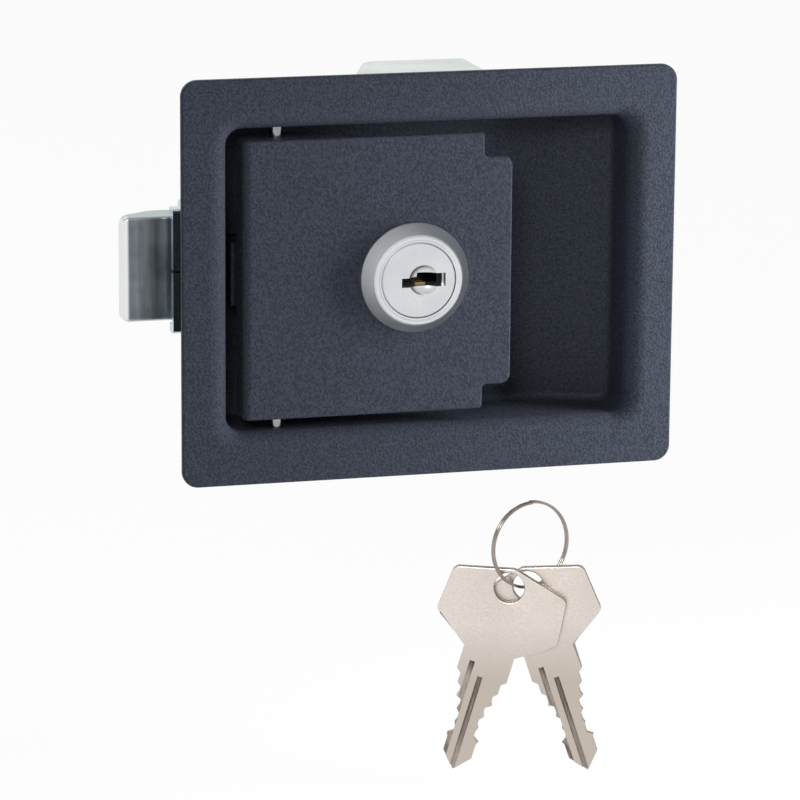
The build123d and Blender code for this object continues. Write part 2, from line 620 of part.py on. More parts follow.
def lock_body():
    """A coned bezel with a stepped inner lip, on a double-D body with a stepped bore."""
    recess = PLUG_FACE_RADIUS + PLUG_CLEARANCE
    bezel = turned([
        (0, PADDLE_FRONT), (BEZEL_BASE_RADIUS, PADDLE_FRONT),
        (BEZEL_BASE_RADIUS, PADDLE_FRONT - BEZEL_BASE_STEP),
        (BEZEL_FACE_RADIUS, BEZEL_FRONT + BEZEL_RIM_BEVEL),
        (BEZEL_FACE_RADIUS - BEZEL_RIM_BEVEL, BEZEL_FRONT), (0, BEZEL_FRONT)])
    body = bezel + slab(lock_outline(0), PADDLE_FRONT, LOCK_BODY_END)
    hollow = turned([
        (0, BEZEL_FRONT - 1), (recess + BEZEL_LIP, BEZEL_FRONT - 1), (recess + BEZEL_LIP, BEZEL_FRONT),
        (recess + BEZEL_LIP / 2, BEZEL_FRONT + BEZEL_LIP_STEP),
        (recess, BEZEL_FRONT + BEZEL_LIP_STEP), (recess, PLUG_FACE_BACK), (0, PLUG_FACE_BACK)])
    bore = rod_y(PLUG_RADIUS + PLUG_CLEARANCE, LOCK_X, LOCK_Z, BEZEL_FRONT, LOCK_BODY_END + 1)
    return body - hollow - bore


def lock_washer():
    outline = Circle(LOCK_WASHER_RADIUS)
    outline -= PolarLocations(LOCK_WASHER_RADIUS, LOCK_WASHER_TEETH) * Circle(LOCK_WASHER_NOTCH)
    outline -= Circle(LOCK_BODY_RADIUS + LOCK_HOLE_GAP)
    return slab(Pos(LOCK_X, LOCK_Z) * outline, PADDLE_BACK, LOCK_WASHER_BACK)


def lock_nut():
    outline = RegularPolygon(LOCK_NUT_FLATS / 2, 6, major_radius=False)
    outline -= Circle(LOCK_BODY_RADIUS + LOCK_HOLE_GAP)
    return slab(Pos(LOCK_X, LOCK_Z) * outline, LOCK_WASHER_BACK, LOCK_WASHER_BACK + LOCK_NUT)


def wafer_places():
    """The Y place of each wafer's front face."""
    first = PLUG_FACE_BACK + WAFER_START
    return [first + WAFER_PITCH * i for i in range(WAFER_COUNT)]


def lock_plug():
    plug = rod_y(PLUG_FACE_RADIUS, LOCK_X, LOCK_Z, PLUG_FRONT, PLUG_FACE_BACK)
    plug = chamfer(plug.edges().sort_by(Axis.Y)[0], PLUG_FACE_BEVEL)
    plug += rod_y(PLUG_RADIUS, LOCK_X, LOCK_Z, PLUG_FACE_BACK, LOCK_BODY_END)
    plug += slab(Pos(LOCK_X, LOCK_Z) * Rectangle(SQUARE, SQUARE), LOCK_BODY_END, CAM_BACK)
    plug -= key_dimple() + slab(keyway_outline(), PLUG_FRONT - 1, PLUG_FRONT + KEYWAY_DEPTH)
    for y in wafer_places():
        room = Pos(LOCK_X, LOCK_Z) * Rectangle(3 * PLUG_RADIUS, WAFER_HEIGHT + 2 * WAFER_GAP)
        plug -= slab(room, y - WAFER_GAP, y + WAFER + WAFER_GAP)
    plug -= rod_y(CAM_SCREW_RADIUS, LOCK_X, LOCK_Z, CAM_BACK - CAM_SCREW_LENGTH, CAM_BACK)
    return plug


def key_dimple():
    """The round dish in the plug's face that leads the key in."""
    radius = (KEY_DIMPLE_RADIUS ** 2 + KEY_DIMPLE_DEPTH ** 2) / (2 * KEY_DIMPLE_DEPTH)
    return Pos(KEYWAY_X, PLUG_FRONT + KEY_DIMPLE_DEPTH - radius, LOCK_Z) * Sphere(radius)


def keyway_outline():
    slot = Pos(KEYWAY_X, LOCK_Z) * Rectangle(KEYWAY_WIDTH, KEYWAY_HEIGHT)
    ward_x = KEYWAY_X - (KEYWAY_WIDTH - KEYWAY_WARD_WIDTH) / 2
    ward_z = LOCK_Z + (KEYWAY_HEIGHT - KEYWAY_WARD_DROP) / 2
    return slot - Pos(ward_x, ward_z) * Rectangle(KEYWAY_WARD_WIDTH, KEYWAY_WARD_DROP)


def wafers():
    """Brass wafers across the plug, each with a window that the key's blade fills."""
    outline = Circle(PLUG_RADIUS) & Rectangle(3 * PLUG_RADIUS, WAFER_HEIGHT)
    outline -= Pos(KEYWAY_SHIFT, 0) * Rectangle(WAFER_WINDOW_WIDTH, WAFER_WINDOW_HEIGHT)
    return [slab(Pos(LOCK_X, LOCK_Z) * outline, y, y + WAFER) for y in wafer_places()]


def lock_cam():
    arm = Pos(CAM_REACH / 2, 0) * Rectangle(CAM_REACH, CAM_WIDTH)
    arm = fillet(arm.vertices().filter_by(lambda v: v.X > 1), CAM_TIP_ROUND)
    hole = SQUARE + 2 * SQUARE_GAP
    outline = Circle(CAM_HUB_RADIUS) + arm - Rectangle(hole, hole)
    return slab(Pos(LOCK_X, LOCK_Z) * outline, CAM_FRONT, CAM_BACK)


def cam_screw():
    top = CAM_BACK + CAM_SCREW_HEAD
    head = rod_y(CAM_SCREW_HEAD_RADIUS, LOCK_X, LOCK_Z, CAM_BACK, top)
    head = fillet(head.edges().sort_by(Axis.Y)[-1], CAM_SCREW_CROWN)
    cross = Rectangle(SCREW_SLOT_LENGTH, SCREW_SLOT) + Rectangle(SCREW_SLOT, SCREW_SLOT_LENGTH)
    head -= slab(Pos(LOCK_X, LOCK_Z) * cross, top - SCREW_SLOT_DEPTH, top + 1)
    return head + rod_y(CAM_SCREW_RADIUS, LOCK_X, LOCK_Z, CAM_BACK - CAM_SCREW_LENGTH, CAM_BACK)


def mounting_clamp():
    shoulder_x = CLAMP_LEFT - CLAMP_SHOULDER_FLARE
    shoulder_y = CLAMP_DEPTH - CLAMP_SHOULDER
    leg = make_face(Polyline(
        (CLAMP_LEFT - CLAMP_FOOT_FLARE, PANEL), (CLAMP_RIGHT, PANEL), (CLAMP_RIGHT, CLAMP_DEPTH),
        (CLAMP_LEFT, CLAMP_DEPTH), (CLAMP_LEFT, CLAMP_BASE_FRONT), (shoulder_x, shoulder_y), close=True))
    shoulder = leg.vertices().sort_by_distance((shoulder_x, shoulder_y))[0]
    leg = fillet(shoulder, CLAMP_CORNER)
    clamp = block(CLAMP_LEFT, CLAMP_RIGHT, CLAMP_BASE_FRONT, CLAMP_DEPTH, -CLAMP_HALF, CLAMP_HALF)
    for side in (-1, 1):
        low, high = sorted((side * CLAMP_HALF, side * (CLAMP_HALF - CLAMP_SHEET)))
        clamp += plan(leg, low, high)
    bends = [edge for edge in clamp.edges().filter_by(Axis.X)
             if edge.center().Y > CLAMP_DEPTH - 0.01 and abs(edge.center().Z) > CLAMP_HALF - 0.01]
    clamp = fillet(bends, CLAMP_BEND)
    for z in (-STUD_Z, STUD_Z):
        clamp -= rod_y(STUD_RADIUS + STUD_HOLE_GAP, STUD_X, z, CLAMP_BASE_FRONT - 1, CLAMP_DEPTH + 1)
    return clamp


def clamp_studs():
    studs = []
    for z in (-STUD_Z, STUD_Z):
        stud = rod_y(STUD_RADIUS, STUD_X, z, FLOOR_BACK, FLOOR_BACK + STUD_LENGTH)
        stud = chamfer(stud.edges().sort_by(Axis.Y)[-1], STUD_BEVEL)
        studs.append(stud + rod_y(STUD_FOOT_RADIUS, STUD_X, z, FLOOR_BACK, FLOOR_BACK + STUD_FOOT))
    return studs


def clamp_washers():
    ring = Circle(WASHER_RADIUS) - Circle(STUD_RADIUS + STUD_HOLE_GAP)
    return [slab(Pos(STUD_X, z) * ring, CLAMP_DEPTH, WASHER_BACK) for z in (-STUD_Z, STUD_Z)]


def clamp_nuts():
    outline = RegularPolygon(NUT_FLATS / 2, 6, major_radius=False) - Circle(STUD_RADIUS + NUT_HOLE_GAP)
    return [slab(Pos(STUD_X, z) * outline, WASHER_BACK, WASHER_BACK + NUT) for z in (-STUD_Z, STUD_Z)]


def key_ring():
    """A split ring, two turns of round wire threaded through both keys."""
    turns = coil(RING_RADIUS, RING_WIRE, 2 * RING_COIL_PITCH, 2, lefthand=True)
    turns = Pos(0, 0, -RING_COIL_PITCH) * turns
    upright = Rot(0, 0, RING_YAW) * Rot(90, 0, 0) * Rot(0, 0, 90) * turns
    return Pos(KEYS_X + RING_SIDE, RING_BACK, KEYS_Z + RING_RISE) * upright


def key_edge():
    """The blade's cut edge, as half widths and heights below the hole."""
    full = KEY_BLADE_WIDTH / 2
    widths = [full - KEY_CUT_STEP * depth for depth in KEY_CUTS]
    edge = []
    for place, width in enumerate(widths):
        middle = KEY_CUT_START + KEY_CUT_PITCH * place
        edge += [(width, KEY_CUT_FLAT / 2 - middle), (width, -KEY_CUT_FLAT / 2 - middle)]
        if place + 1 < len(widths):
            crest = min(full, max(width, widths[place + 1]) + KEY_CUT_CREST)
            edge.append((crest, -KEY_CUT_PITCH / 2 - middle))
    return edge + [(widths[-1], KEY_TIP_LENGTH - KEY_LENGTH)]


def key_blank():
    """A flat key, its hole at the origin and its blade hanging down, cut alike on both edges."""
    neck = KEY_NECK_WIDTH / 2
    right = [
        (0, KEY_HEAD_RISE), (KEY_HEAD_TOP_WIDTH / 2, KEY_HEAD_SHOULDER),
        (KEY_HEAD_WIDTH / 2, -KEY_HEAD_DROP), (neck, -KEY_NECK_DROP), (neck, -KEY_COLLAR_DROP)]
    right += key_edge() + [(0, -KEY_LENGTH)]
    left = [(-x, z) for x, z in right[-2:0:-1]]
    face = make_face(Polyline(right + left, close=True))
    head = face.vertices().filter_by(lambda v: v.Y > -KEY_HEAD_DROP - 1)
    face = fillet(head, KEY_HEAD_ROUND)
    face -= Circle(KEY_HOLE_RADIUS)
    key = slab(face, -KEY_THICK / 2, KEY_THICK / 2)
    for front in (-1, 1):
        key -= key_groove(front, KEY_SIDE_GROOVE, KEY_SIDE_GROOVE_DROP)
        key -= key_groove(front, KEY_MID_GROOVE, KEY_MID_GROOVE_DROP)
    return key


def key_groove(front, offset, drop):
    """A milled groove along the blade, in its front face for -1 or its back face for 1."""
    floor = front * (KEY_THICK / 2 - KEY_GROOVE_DEPTH)
    low, high = sorted((front * KEY_THICK, floor))
    middle = front * offset
    return block(middle - KEY_GROOVE / 2, middle + KEY_GROOVE / 2, low, high, -KEY_LENGTH, -drop)


def hung_key(side, tilt):
    """The front key, side -1, leans its blade to -X and the back key, side 1, to +X."""
    place = Pos(side * KEY_SPACING / 2, side * (KEY_THICK + KEY_GAP) / 2, 0)
    return Pos(KEYS_X, 0, KEYS_Z) * Rot(0, 0, -KEY_YAW) * place * Rot(0, -side * tilt, 0) * key_blank()


os.makedirs("parts", exist_ok=True)
save("dish_pan", dish_pan())
save("bolt_housing", bolt_housing())
save("housing_rivets", Compound(housing_rivets()))
save("hinge_pin", hinge_pin())
save("pin_clip", pin_clip())
save("mounting_clamp", mounting_clamp())
save("clamp_studs", Compound(clamp_studs()))
save("clamp_washers", Compound(clamp_washers()))
save("clamp_nuts", Compound(clamp_nuts()))
save("paddle_plate", paddle_plate())
save("paddle_spring", paddle_spring())
save("latch_bolt", latch_bolt())
save("bolt_spring", bolt_spring())
save("spring_peg", spring_peg())
save("lock_body", lock_body())
save("lock_washer", lock_washer())
save("lock_nut", lock_nut())
save("lock_plug", lock_plug())
save("wafers", Compound(wafers()))
save("lock_cam", lock_cam())
save("cam_screw", cam_screw())
save("key_ring", key_ring())
save("key_front", hung_key(-1, KEY_FRONT_TILT))
save("key_back", hung_key(1, KEY_BACK_TILT))
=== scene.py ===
import bpy
import math
from mathutils import Matrix, Vector


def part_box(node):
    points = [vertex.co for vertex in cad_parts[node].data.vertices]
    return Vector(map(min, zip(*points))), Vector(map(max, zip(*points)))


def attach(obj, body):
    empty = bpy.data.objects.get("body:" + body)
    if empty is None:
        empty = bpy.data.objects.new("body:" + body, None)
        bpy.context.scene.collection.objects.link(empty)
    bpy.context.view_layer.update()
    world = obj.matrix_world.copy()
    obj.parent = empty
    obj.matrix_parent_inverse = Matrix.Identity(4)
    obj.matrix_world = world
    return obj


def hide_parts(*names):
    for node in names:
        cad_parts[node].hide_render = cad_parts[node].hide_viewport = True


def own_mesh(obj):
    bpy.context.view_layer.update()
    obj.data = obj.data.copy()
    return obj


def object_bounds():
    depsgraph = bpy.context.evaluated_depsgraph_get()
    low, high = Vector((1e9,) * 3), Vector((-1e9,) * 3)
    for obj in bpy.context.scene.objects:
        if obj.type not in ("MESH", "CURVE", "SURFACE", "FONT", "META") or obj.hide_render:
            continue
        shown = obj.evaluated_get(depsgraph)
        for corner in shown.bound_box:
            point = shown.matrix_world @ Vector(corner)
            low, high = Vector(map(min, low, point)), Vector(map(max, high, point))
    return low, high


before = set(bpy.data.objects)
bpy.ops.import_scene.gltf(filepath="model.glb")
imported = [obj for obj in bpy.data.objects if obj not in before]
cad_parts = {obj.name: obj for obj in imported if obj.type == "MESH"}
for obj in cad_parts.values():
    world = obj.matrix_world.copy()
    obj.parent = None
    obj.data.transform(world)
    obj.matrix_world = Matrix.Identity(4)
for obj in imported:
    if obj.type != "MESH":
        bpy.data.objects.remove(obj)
cadBox = [list(corner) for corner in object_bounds()]
mm = 0.001


def tick(text):
    print("paddle latch:", text)


cameraSettings = {
    "azimuth": -15.208,      # degrees, seen from the bolt side
    "elevation": 13.294,
    "roll": 0.4176,
    "distance": 1029.9,      # mm
    "lens": 196.96,
    "aim": (-8.72, -6.12, -28.54),
    "sensor": 36,
    "clip": (0.05, 20),      # m
}


def makeCamera(s):
    a, e, r = (math.radians(s[k]) for k in ("azimuth", "elevation", "roll"))
    back = Vector((math.sin(a) * math.cos(e), -math.cos(a) * math.cos(e), math.sin(e)))
    level = Vector((math.cos(a), math.sin(a), 0))
    over = back.cross(level)
    right = level * math.cos(r) + over * math.sin(r)
    up = over * math.cos(r) - level * math.sin(r)
    bpy.ops.object.camera_add()
    camera = bpy.context.object
    camera.matrix_world = Matrix((right, up, back)).transposed().to_4x4()
    camera.location = (Vector(s["aim"]) + back * s["distance"]) * mm
    camera.data.lens = s["lens"]
    camera.data.sensor_width = s["sensor"]
    camera.data.clip_start, camera.data.clip_end = s["clip"]
    bpy.context.scene.camera = camera


makeCamera(cameraSettings)
tick("camera set")


def hexColor(text):
    # sRGB hex to the linear colour that the shader wants
    parts = [int(text[i:i + 2], 16) / 255 for i in (1, 3, 5)]
    return tuple(c / 12.92 if c <= 0.04045 else ((c + 0.055) / 1.055) ** 2.4 for c in parts) + (1.0,)


def addNode(tree, kind, settings=None, links=None):
    # settings are properties or socket values, links are socket: (node, output)
    node = tree.nodes.new(kind)
    for key, value in (settings or {}).items():
        if isinstance(key, int) or key in node.inputs:
            node.inputs[key].default_value = value
        else:
            setattr(node, key, value)
    for key, (source, output) in (links or {}).items():
        tree.links.new(source.outputs[output], node.inputs[key])
    return node


def startMaterial(name, settings):
    material = bpy.data.materials.new(name)
    material.use_nodes = True
    tree = material.node_tree
    tree.nodes.clear()
    place = addNode(tree, "ShaderNodeTexCoord")
    shader = addNode(tree, "ShaderNodeBsdfPrincipled", settings)
    addNode(tree, "ShaderNodeOutputMaterial", links={"Surface": (shader, "BSDF")})
    return material, tree, place, shader


def mixTwo(tree, factor, low, high):
    # blends two hex colours by a factor output
    mix = addNode(tree, "ShaderNodeMix", {"data_type": "RGBA"})
    mix.inputs[6].default_value = hexColor(low)
    mix.inputs[7].default_value = hexColor(high)
    tree.links.new(factor[0].outputs[factor[1]], mix.inputs[0])
    return mix


coatLook = {
    "dark": "#2a2e37",
    "light": "#3d414c",
    "pebbleMm": 0.55,        # one pebble of the texture powder and the pit beside it
    "fineMm": 0.3,           # fine orange peel between the pebbles
    "reliefMm": 0.18,
    "fineReliefMm": 0.04,
    "cloudScale": 30.0,      # slow change of tone over the sheet
    "cloudShare": 0.15,
    "pebbleShare": 0.85,
    "crest": (0.34, 0.66),   # noise at the edge of a pit and at the full height of a pebble
    "roughness": (0.58, 0.42),  # in a pit and on a pebble
    "specular": 0.12,
}


def texturedPowderCoat(s):
    # fine texture polyester powder, baked on steel: dark slate, soft sheen, a pebbled skin
    # that shows as bright and dark grain where the light rakes across it
    material, tree, place, shader = startMaterial("texturedPowderCoat", {
        "Metallic": 0.0, "IOR": 1.5, "Specular IOR Level": s["specular"]})
    pebble = addNode(tree, "ShaderNodeTexNoise",
                     {"Scale": 1000 / s["pebbleMm"], "Detail": 1.5, "Roughness": 0.5},
                     {"Vector": (place, "Object")})
    fine = addNode(tree, "ShaderNodeTexNoise", {"Scale": 1000 / s["fineMm"], "Detail": 2.0},
                   {"Vector": (place, "Object")})
    cloud = addNode(tree, "ShaderNodeTexNoise", {"Scale": s["cloudScale"], "Detail": 2.0},
                    {"Vector": (place, "Object")})
    crest = addNode(tree, "ShaderNodeMapRange",
                    {"From Min": s["crest"][0], "From Max": s["crest"][1]},
                    {"Value": (pebble, "Fac")})
    tone = addNode(tree, "ShaderNodeMath", {"operation": "MULTIPLY", 1: s["pebbleShare"]},
                   {0: (crest, "Result")})
    share = addNode(tree, "ShaderNodeMath",
                    {"operation": "MULTIPLY_ADD", 1: s["cloudShare"], "use_clamp": True},
                    {0: (cloud, "Fac"), 2: (tone, "Value")})
    base = mixTwo(tree, (share, "Value"), s["dark"], s["light"])
    tree.links.new(base.outputs[2], shader.inputs["Base Color"])
    gloss = addNode(tree, "ShaderNodeMapRange", {"To Min": s["roughness"][0], "To Max": s["roughness"][1]},
                    {"Value": (crest, "Result")})
    tree.links.new(gloss.outputs["Result"], shader.inputs["Roughness"])
    skin = addNode(tree, "ShaderNodeBump", {"Strength": 1.0, "Distance": s["fineReliefMm"] * mm},
                   {"Height": (fine, "Fac")})
    bump = addNode(tree, "ShaderNodeBump", {"Strength": 1.0, "Distance": s["reliefMm"] * mm},
                   {"Height": (pebble, "Fac"), "Normal": (skin, "Normal")})
    tree.links.new(bump.outputs["Normal"], shader.inputs["Normal"])
    return material


metalDefaults = {
    "stretch": (1, 1, 1),    # fine lines run along the axis that has the small number
    "spreadMm": 9.0,         # size of the slow clouds in the tone
    "tone": (0.14, 0.36),    # noise at the low colour and at the high one
    "relief": 0.5,
}


def metalFinish(name, s):
    material, tree, place, shader = startMaterial(name, {"Metallic": 1.0})
    mapping = addNode(tree, "ShaderNodeMapping", {"Scale": s["stretch"]}, {"Vector": (place, "Object")})
    grain = addNode(tree, "ShaderNodeTexNoise",
                    {"Scale": 1000 / s["grainMm"], "Detail": 5.0, "Roughness": 0.6},
                    {"Vector": (mapping, "Vector")})
    cloud = addNode(tree, "ShaderNodeTexNoise", {"Scale": 1000 / s["spreadMm"], "Detail": 3.0},
                    {"Vector": (place, "Object")})
    tone = addNode(tree, "ShaderNodeMath", {"operation": "MULTIPLY"},
                   {0: (grain, "Fac"), 1: (cloud, "Fac")})
    ramp = addNode(tree, "ShaderNodeMapRange", {"From Min": s["tone"][0], "From Max": s["tone"][1]},
                   {"Value": (tone, "Value")})
    base = mixTwo(tree, (ramp, "Result"), s["low"], s["high"])
    tree.links.new(base.outputs[2], shader.inputs["Base Color"])
    gloss = addNode(tree, "ShaderNodeMapRange", {"To Min": s["roughness"][0], "To Max": s["roughness"][1]},
                    {"Value": (grain, "Fac")})
    tree.links.new(gloss.outputs["Result"], shader.inputs["Roughness"])
    bump = addNode(tree, "ShaderNodeBump", {"Strength": s["relief"], "Distance": s["bumpMm"] * mm},
                   {"Height": (grain, "Fac")})
    tree.links.new(bump.outputs["Normal"], shader.inputs["Normal"])
    return material


def tintByPlace(material, axis, start, end, tint):
    # the colour goes over to the tint between two places along an axis, in mm
    tree = material.node_tree
    shader = tree.nodes["Principled BSDF"]
    before = shader.inputs["Base Color"].links[0].from_socket
    place = addNode(tree, "ShaderNodeTexCoord")
    split = addNode(tree, "ShaderNodeSeparateXYZ", {}, {"Vector": (place, "Object")})
    share = addNode(tree, "ShaderNodeMapRange", {"From Min": start * mm, "From Max": end * mm},
                    {"Value": (split, axis)})
    mix = addNode(tree, "ShaderNodeMix", {"data_type": "RGBA"}, {0: (share, "Result")})
    tree.links.new(before, mix.inputs[6])
    mix.inputs[7].default_value = hexColor(tint)
    tree.links.new(mix.outputs[2], shader.inputs["Base Color"])


metalLooks = {
    # zinc plate on cold-rolled sheet: pale, faintly green, soft rolled grain
    "brightZincPlate": {"low": "#c8cfcd", "high": "#dbe0dd", "roughness": (0.28, 0.38),
                        "grainMm": 1.6, "bumpMm": 0.004},
    # housing sheet, zinc with the mill's polish
    "polishedZincSheet": {"low": "#b6c4cd", "high": "#c6d2d9", "roughness": (0.16, 0.24),
                          "grainMm": 1.6, "bumpMm": 0.002},
    # bolt, brushed up and down and dull on its flats; its lighter nose and edges are a painted highlight,
    # set below
    "brushedZincSteel": {"low": "#6c747b", "high": "#9aa1a8", "roughness": (0.30, 0.40),
                         "grainMm": 1.6, "stretch": (1, 1, 0.05), "bumpMm": 0.002},
    # chrome on die-cast zinc: cool grey, soft reflections
    "satinChrome": {"low": "#d7dadd", "high": "#e6e8ea", "roughness": (0.34, 0.42),
                    "grainMm": 0.4, "bumpMm": 0.001},
    # plug face, turned and lightly brushed
    "turnedNickel": {"low": "#d3d6d9", "high": "#e2e4e6", "roughness": (0.28, 0.34),
                     "grainMm": 0.3, "bumpMm": 0.0008},
    # wafer, rolled brass; painted shade turns it near black but in a bright band, below
    "rolledBrass": {"low": "#8c7250", "high": "#b6986e", "roughness": (0.28, 0.42),
                    "grainMm": 0.4, "stretch": (0.2, 1, 1), "bumpMm": 0.003},
    "drawnSpringWire": {"low": "#7c8084", "high": "#a2a6aa", "roughness": (0.25, 0.38),
                        "grainMm": 0.4, "stretch": (1, 1, 0.3), "bumpMm": 0.003},
    # key stock, brushed across the bow
    "brushedNickelKey": {"low": "#d8cdc4", "high": "#efe6de", "roughness": (0.30, 0.40),
                         "grainMm": 0.28, "stretch": (0.03, 1, 1), "bumpMm": 0.003, "spreadMm": 60.0},
    # the same stock where the cutter milled the grooves, darker partly for the milled finish and partly as
    # painted shade in the grooves
    "milledNickelKeyShaded": {"low": "#8d8279", "high": "#b4a99f", "roughness": (0.36, 0.48),
                        "grainMm": 0.3, "stretch": (1, 1, 0.1), "bumpMm": 0.004},
    # the same stock on its punched sides, darker partly for the punched finish and partly as painted shade
    # along the key's edges
    "punchedNickelKeyShaded": {"low": "#8b8078", "high": "#aea298", "roughness": (0.36, 0.50),
                         "grainMm": 0.5, "bumpMm": 0.006},
    # ground and polished hinge wire
    "polishedPinSteel": {"low": "#8f9396", "high": "#a9adb0", "roughness": (0.08, 0.14),
                         "grainMm": 0.5, "bumpMm": 0.0006},
    # spring steel ring
    "polishedRingSteel": {"low": "#8c837b", "high": "#aba198", "roughness": (0.10, 0.18),
                          "grainMm": 0.5, "bumpMm": 0.002},
}
finishes = {"texturedPowderCoat": texturedPowderCoat(coatLook)}
for name, look in metalLooks.items():
    finishes[name] = metalFinish(name, {**metalDefaults, **look})
finishOfNode = {
    "texturedPowderCoat": ("dish_pan", "paddle_plate"),
    "brightZincPlate": ("housing_rivets", "mounting_clamp", "clamp_studs", "clamp_washers",
                        "clamp_nuts", "spring_peg", "lock_washer", "lock_nut", "lock_cam",
                        "cam_screw"),
    "polishedZincSheet": ("bolt_housing",),
    "brushedZincSteel": ("latch_bolt",),
    "polishedPinSteel": ("hinge_pin",),
    "satinChrome": ("lock_body",),
    "turnedNickel": ("lock_plug",),
    "rolledBrass": ("wafers",),
    "drawnSpringWire": ("pin_clip", "paddle_spring", "bolt_spring"),
    "brushedNickelKey": ("key_front", "key_back"),
    "polishedRingSteel": ("key_ring",),
}


def giveFinish(piece, finish):
    piece.data.materials.clear()
    piece.data.materials.append(finishes[finish])


def edgesOf(name):
    # the low and high corner of a CAD node, in mm
    low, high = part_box(name)
    return [v / mm for v in low], [v / mm for v in high]


def middleOf(name):
    low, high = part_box(name)
    return [(a + b) / 2 / mm for a, b in zip(low, high)]


boltHighlights = {
    "nose": (2.1, 1.6),      # mm from the nose where the painted highlight begins and where it is full
    "edge": (0.9, 0.3),      # the same from the top and bottom edges
    "noseHighlight": "#e8eaea",
    "topEdgeHighlight": "#a3adae",
    "bottomEdgeHighlight": "#c9d1d1",
}


# painted highlight: the bolt's nose and its top and bottom edges are lightened by place, where light
# catches them
def paintBoltHighlights(s):
    low, high = edgesOf("latch_bolt")
    steel = finishes["brushedZincSteel"]
    tintByPlace(steel, "X", low[0] + s["nose"][0], low[0] + s["nose"][1], s["noseHighlight"])
    tintByPlace(steel, "Z", high[2] - s["edge"][0], high[2] - s["edge"][1], s["topEdgeHighlight"])
    tintByPlace(steel, "Z", low[2] + s["edge"][0], low[2] + s["edge"][1], s["bottomEdgeHighlight"])


waferShade = {
    "shift": 1.3,            # mm from the wafer's middle to the middle of its bright band
    "half": (1.1, 1.4),      # half of that band, where the painted shade begins and where it is full
    "tint": "#26282b",
}


# painted shade: the wafers go near black on both sides of their bright band
def shadeWafers(s):
    band = middleOf("wafers")[0] + s["shift"]
    for side in (-1, 1):
        tintByPlace(finishes["rolledBrass"], "X",
                    band + side * s["half"][0], band + side * s["half"][1], s["tint"])


keyToneAndShade = {
    "neck": 0.36,            # share of the key that lies above the start of its blade
    "blade": (4.0, -10.0),   # mm from there, where the blade starts to turn darker and where that is full
    "bladeTint": "#c6bbb1",
    "runOut": (-9.0, -5.0),  # the same for the painted shade at the deep ends of the cutter's grooves
    "runOutShade": "#574e47",
}


def toneAndShadeKeys(s):
    low, high = edgesOf("key_front")
    neck = high[2] - s["neck"] * (high[2] - low[2])
    blade, runOut = s["blade"], s["runOut"]
    tintByPlace(finishes["brushedNickelKey"], "Z", neck + blade[0], neck + blade[1], s["bladeTint"])
    # painted shade: the milled grooves darken towards their deep upper ends
    tintByPlace(finishes["milledNickelKeyShaded"], "Z", neck + runOut[0], neck + runOut[1], s["runOutShade"])


paintBoltHighlights(boltHighlights)
shadeWafers(waferShade)
toneAndShadeKeys(keyToneAndShade)
for finish, names in finishOfNode.items():
    for name in names:
        giveFinish(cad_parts[name], finish)
tick("materials on the CAD nodes")


weldGap = 0.000002       # m, corners closer than this are one
rimGap = 0.00001         # m, a face this near an end's plane belongs to the end
smoothAngle = 32         # degrees, sharper edges stay crisp


def pickNothing():
    if bpy.context.object and bpy.context.object.mode != "OBJECT":
        bpy.ops.object.mode_set(mode="OBJECT")
    bpy.ops.object.select_all(action="DESELECT")


def pickOnly(piece):
    pickNothing()
    piece.select_set(True)
    bpy.context.view_layer.objects.active = piece


def useModifier(piece, kind, settings):
    # adds a modifier, sets it and applies it
    bpy.context.view_layer.objects.active = piece
    modifier = piece.modifiers.new(kind.lower(), kind)
    for key, value in settings.items():
        setattr(modifier, key, value)
    bpy.ops.object.modifier_apply(modifier=modifier.name)


def settle(piece, name):
    # puts the place into the mesh, closes doubles and points the faces outwards
    pickOnly(piece)
    bpy.ops.object.transform_apply(location=True, rotation=True, scale=True)
    bpy.ops.object.mode_set(mode="EDIT")
    bpy.ops.mesh.select_all(action="SELECT")
    bpy.ops.mesh.remove_doubles(threshold=weldGap)
    bpy.ops.mesh.normals_make_consistent(inside=False)
    bpy.ops.object.mode_set(mode="OBJECT")
    bpy.ops.object.shade_smooth_by_angle(angle=math.radians(smoothAngle))
    piece.name = name
    return piece


def joinAll(pieces, name):
    pickNothing()
    for piece in pieces:
        piece.select_set(True)
    bpy.context.view_layer.objects.active = pieces[0]
    bpy.ops.object.join()
    return settle(pieces[0], name)


def barAlongY(x, z, y0, y1, radius, sides):
    # a straight bar that runs into the door, all sizes in mm
    pickNothing()
    bpy.ops.mesh.primitive_cylinder_add(
        vertices=sides, radius=radius * mm, depth=(y1 - y0) * mm,
        location=(x * mm, (y0 + y1) / 2 * mm, z * mm), rotation=(math.radians(90), 0, 0))
    bpy.ops.object.transform_apply(location=True, rotation=True, scale=True)
    return bpy.context.object


def bevelEnd(piece, y, size):
    # breaks the rim of the end face at y, in mm
    pickOnly(piece)
    bpy.ops.object.mode_set(mode="EDIT")
    bpy.ops.mesh.select_all(action="DESELECT")
    bpy.ops.object.mode_set(mode="OBJECT")
    for face in piece.data.polygons:
        if abs(face.center.y - y * mm) < rimGap and abs(face.normal.y) > 0.9:
            face.select = True
    bpy.ops.object.mode_set(mode="EDIT")
    bpy.ops.mesh.select_mode(type="FACE")
    bpy.ops.mesh.bevel(offset=size * mm, segments=1, affect="EDGES")
    bpy.ops.object.mode_set(mode="OBJECT")


nutTools = {
    "spare": 0.02,           # the cone is this much wider than the hexagon's corners, in mm
    "coneSides": 72,
    "boreSides": 48,
    "overrun": 1,            # the bore's tool goes this far past both faces, in mm
}


